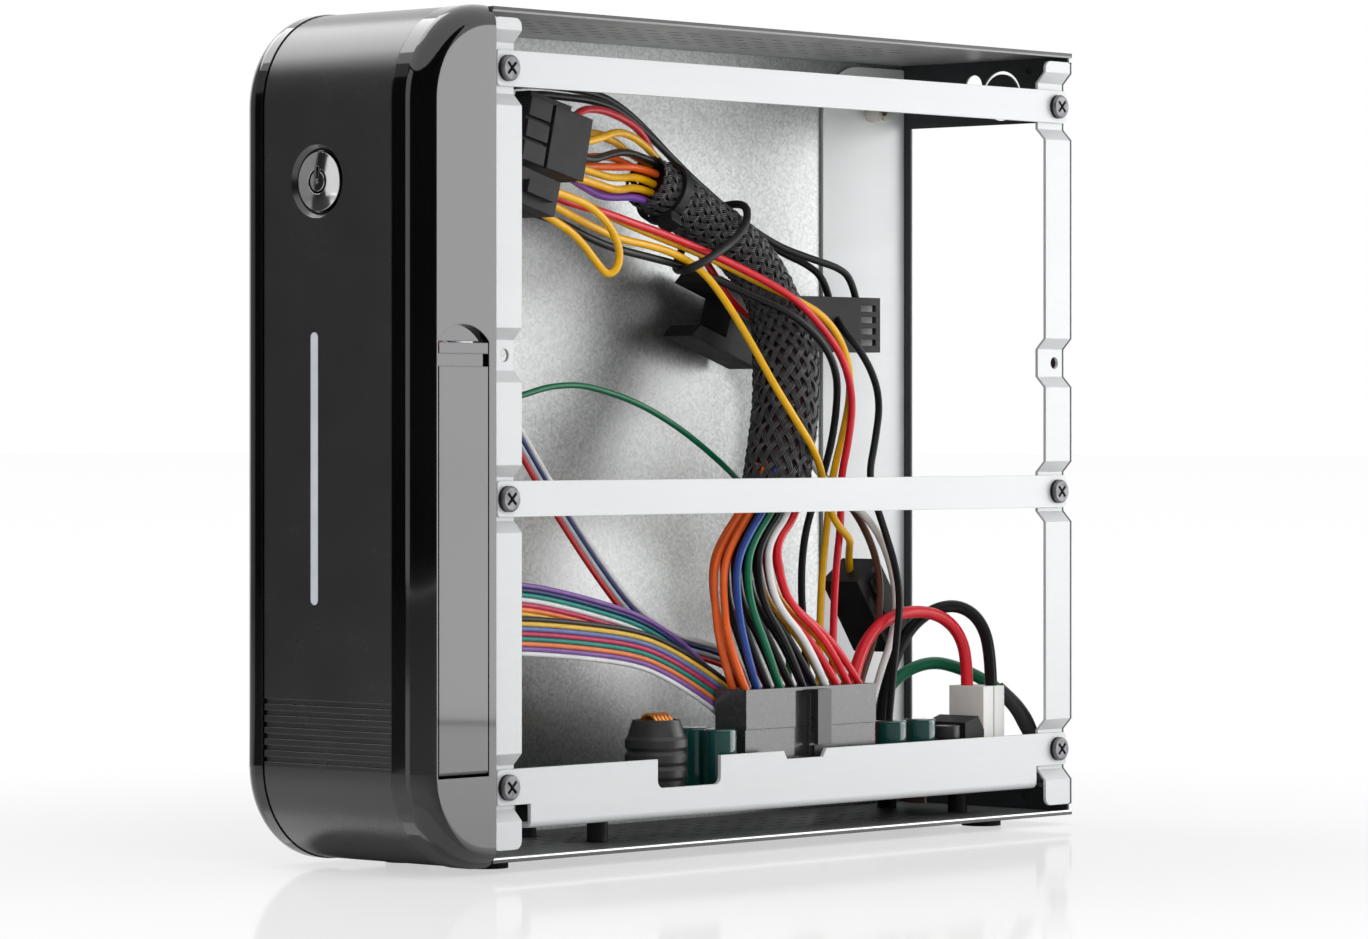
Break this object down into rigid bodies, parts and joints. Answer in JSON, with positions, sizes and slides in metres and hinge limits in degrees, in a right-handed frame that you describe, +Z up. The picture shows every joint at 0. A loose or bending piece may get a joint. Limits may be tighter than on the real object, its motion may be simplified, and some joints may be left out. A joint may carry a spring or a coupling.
{
  "type": "computer case",
  "caption": "Small upright computer case with a rounded black front, side cover off, showing steel crossbars, a power board and a wiring loom.",
  "frame": {"origin": "middle of the footprint, on the surface the feet stand on", "axes": "+X towards the open side, +Y from the front to the back, +Z up"},
  "size_m": [0.059, 0.2354, 0.1972],
  "materials": {
    "gloss_black": "high gloss",
    "satin_black": "satin",
    "chrome": "polished",
    "lens": "frosted",
    "board": "solder mask",
    "black_plastic": "moulded",
    "steel_pin": "bright",
    "zinc": "zinc plated",
    "galvanised": "spangled",
    "black_steel": "satin black",
    "brass": "plain",
    "rubber": "matt",
    "brown_sheet": "pressed sheet",
    "nylon": "translucent white",
    "shrink": "shrink sleeve",
    "copper": "enamelled copper",
    "green_can": "sleeved can",
    "braid": "braided",
    "wire_orange": "wire sleeve",
    "wire_blue": "wire sleeve",
    "wire_black": "wire sleeve",
    "wire_green": "wire sleeve",
    "wire_red": "wire sleeve",
    "wire_white": "wire sleeve",
    "wire_yellow": "wire sleeve",
    "wire_violet": "wire sleeve",
    "wire_brown": "wire sleeve",
    "ribbon": "striped flat cable"
  },
  "bodies": {
    "chassis": {"audio_jacks": "black_plastic", "auxiliary_plug": "black_plastic", "bezel_frame": "gloss_black", "board_insulator": "brown_sheet", "board_spacers": "black_plastic", "board_standoffs": "brass", "bottom_crossbar": "zinc", "cable_sleeve": "braid", "cable_ties": "black_plastic", "chassis_front_plate": "zinc", "choke_sleeve": "shrink", "choke_winding": "copper", "crossbar_screws": "black_steel", "door_hinge_pin": "steel_pin", "drive_plug": "black_plastic", "drum_inductor": "shrink", "front_fascia": "satin_black", "front_io_board": "board", "green_lead": "wire_green", "ground_lead": "wire_green", "ground_lug": "steel_pin", "ground_screw": "steel_pin", "inlet_header": "black_plastic", "inlet_lead_black": "wire_black", "inlet_lead_red": "wire_red", "inlet_plug": "nylon", "led_board": "board", "left_capacitors": "green_can", "light_bar": "lens", "lower_plug": "black_plastic", "main_header": "black_plastic", "main_plug": "black_plastic", "middle_crossbar": "zinc", "motherboard_plug": "black_plastic", "motherboard_tray": "galvanised", "outer_shell": "black_steel", "power_board": "board", "power_switch": "black_plastic", "rear_panel": "zinc", "ribbon_middle": "ribbon", "ribbon_narrow": "ribbon", "ribbon_socket": "black_plastic", "ribbon_wide": "ribbon", "right_capacitors": "green_can", "rubber_feet": "rubber", "slotted_plug": "black_plastic", "top_crossbar": "zinc", "usb_ports": "steel_pin", "wires_black": "wire_black", "wires_blue": "wire_blue", "wires_brown": "wire_brown", "wires_green": "wire_green", "wires_orange": "wire_orange", "wires_red": "wire_red", "wires_violet": "wire_violet", "wires_white": "wire_white", "wires_yellow": "wire_yellow"},
    "power_button": {"power_button": "chrome"},
    "usb_door": {"usb_door": "gloss_black"}
  },
  "joints": [
    {"name": "power_button_push", "type": "slide", "parent": "chassis", "child": "power_button", "axis": [0, 1, 0], "range_m": [0, 0.0012], "stiffness_N_per_m": 300},
    {"name": "usb_door_swing", "type": "hinge", "parent": "chassis", "child": "usb_door", "pos_m": [0.0285, -0.1042, 0.02385], "axis": [0, 1, 0], "range_deg": [0, 90]}
  ]
}
